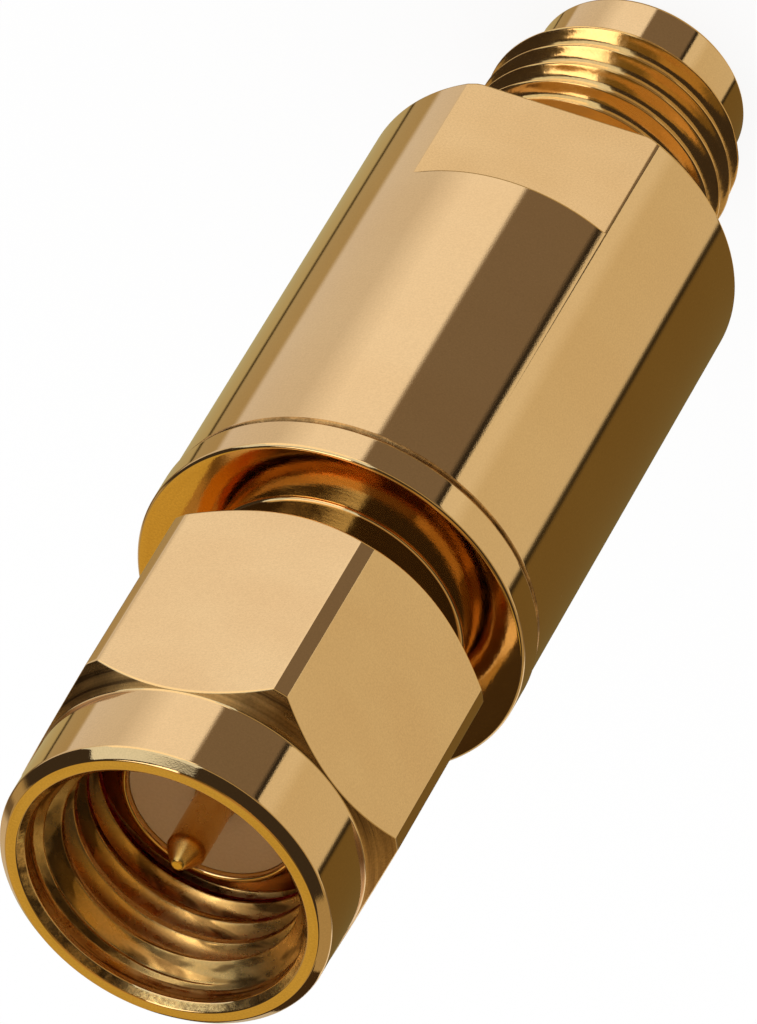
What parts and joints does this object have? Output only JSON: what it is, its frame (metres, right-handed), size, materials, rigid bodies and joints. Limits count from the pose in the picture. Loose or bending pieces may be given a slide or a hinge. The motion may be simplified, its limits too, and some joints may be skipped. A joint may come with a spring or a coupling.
{
  "type": "coaxial sma connector",
  "caption": "In-line coaxial SMA adapter body: hexagon coupling nut and pin plug at one end, round body with wrench flats, threaded socket jack at the other.",
  "frame": {"origin": "centre of the jack's end face, on which the part stands", "axes": "+Z along the common axis, from the jack towards the plug; the wrench flats face -Y and +Y"},
  "size_m": [0.0094, 0.0094, 0.03],
  "materials": {
    "gold_nut": "gold plated, turned, polished, satin on the hexagon faces",
    "gold_shell": "gold plated, turned, polished",
    "gold_body": "gold plated, turned, polished, satin on the flats",
    "gold_contact": "gold plated, bright",
    "ring_bronze": "spring bronze, drawn",
    "clamp_brass": "plain milled",
    "bead_dielectric": "waxy, warm tan, faintly translucent",
    "gasket_silicone": "matt dark red",
    "card_alumina": "matt white"
  },
  "bodies": {
    "connector": {"housing": "gold_body", "plug_shell": "gold_shell", "plug_insulator": "bead_dielectric", "plug_pin": "gold_contact", "gasket": "gasket_silicone", "retaining_ring": "ring_bronze", "jack_insulator": "bead_dielectric", "jack_socket": "gold_contact", "resistor_card": "card_alumina", "card_clamp_front": "clamp_brass", "card_clamp_back": "clamp_brass"},
    "nut": {"coupling_nut": "gold_nut"}
  },
  "joints": [
    {"name": "nut_spin", "type": "hinge", "parent": "connector", "child": "nut", "pos_m": [0, 0, 0.02565], "axis": [0, 0, 1], "continuous": true}
  ]
}
